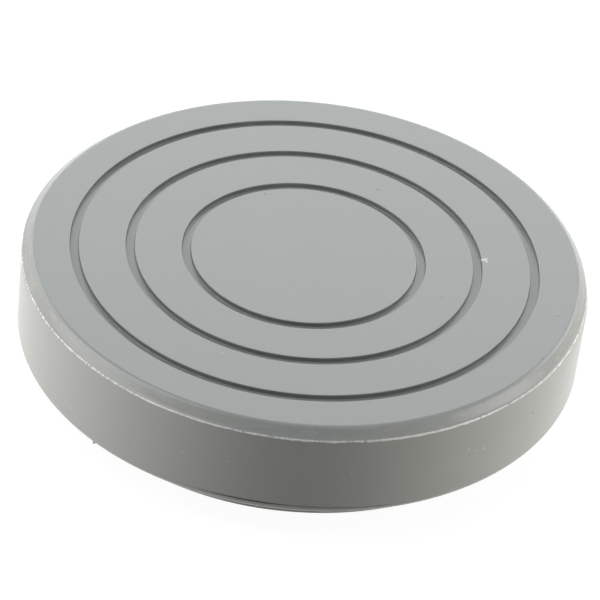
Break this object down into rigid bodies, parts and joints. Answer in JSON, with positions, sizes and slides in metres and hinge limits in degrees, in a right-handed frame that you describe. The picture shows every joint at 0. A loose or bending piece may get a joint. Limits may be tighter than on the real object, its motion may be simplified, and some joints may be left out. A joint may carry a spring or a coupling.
{
  "type": "rubber foot",
  "caption": "Round grey rubber foot with a chamfered tread face cut by concentric grooves, and a low plinth under it.",
  "frame": {"origin": "centre of the plinth's flat face, the lowest face as modelled", "axes": "+Z along the axis of the disc, from the plinth to the grooved tread face; the part is round, so X and Y are free"},
  "size_m": [0.0402, 0.0402, 0.0088],
  "materials": {
    "grey_rubber": "smooth moulded rubber, satin"
  },
  "bodies": {
    "root": {"foot": "grey_rubber"}
  },
  "joints": []
}
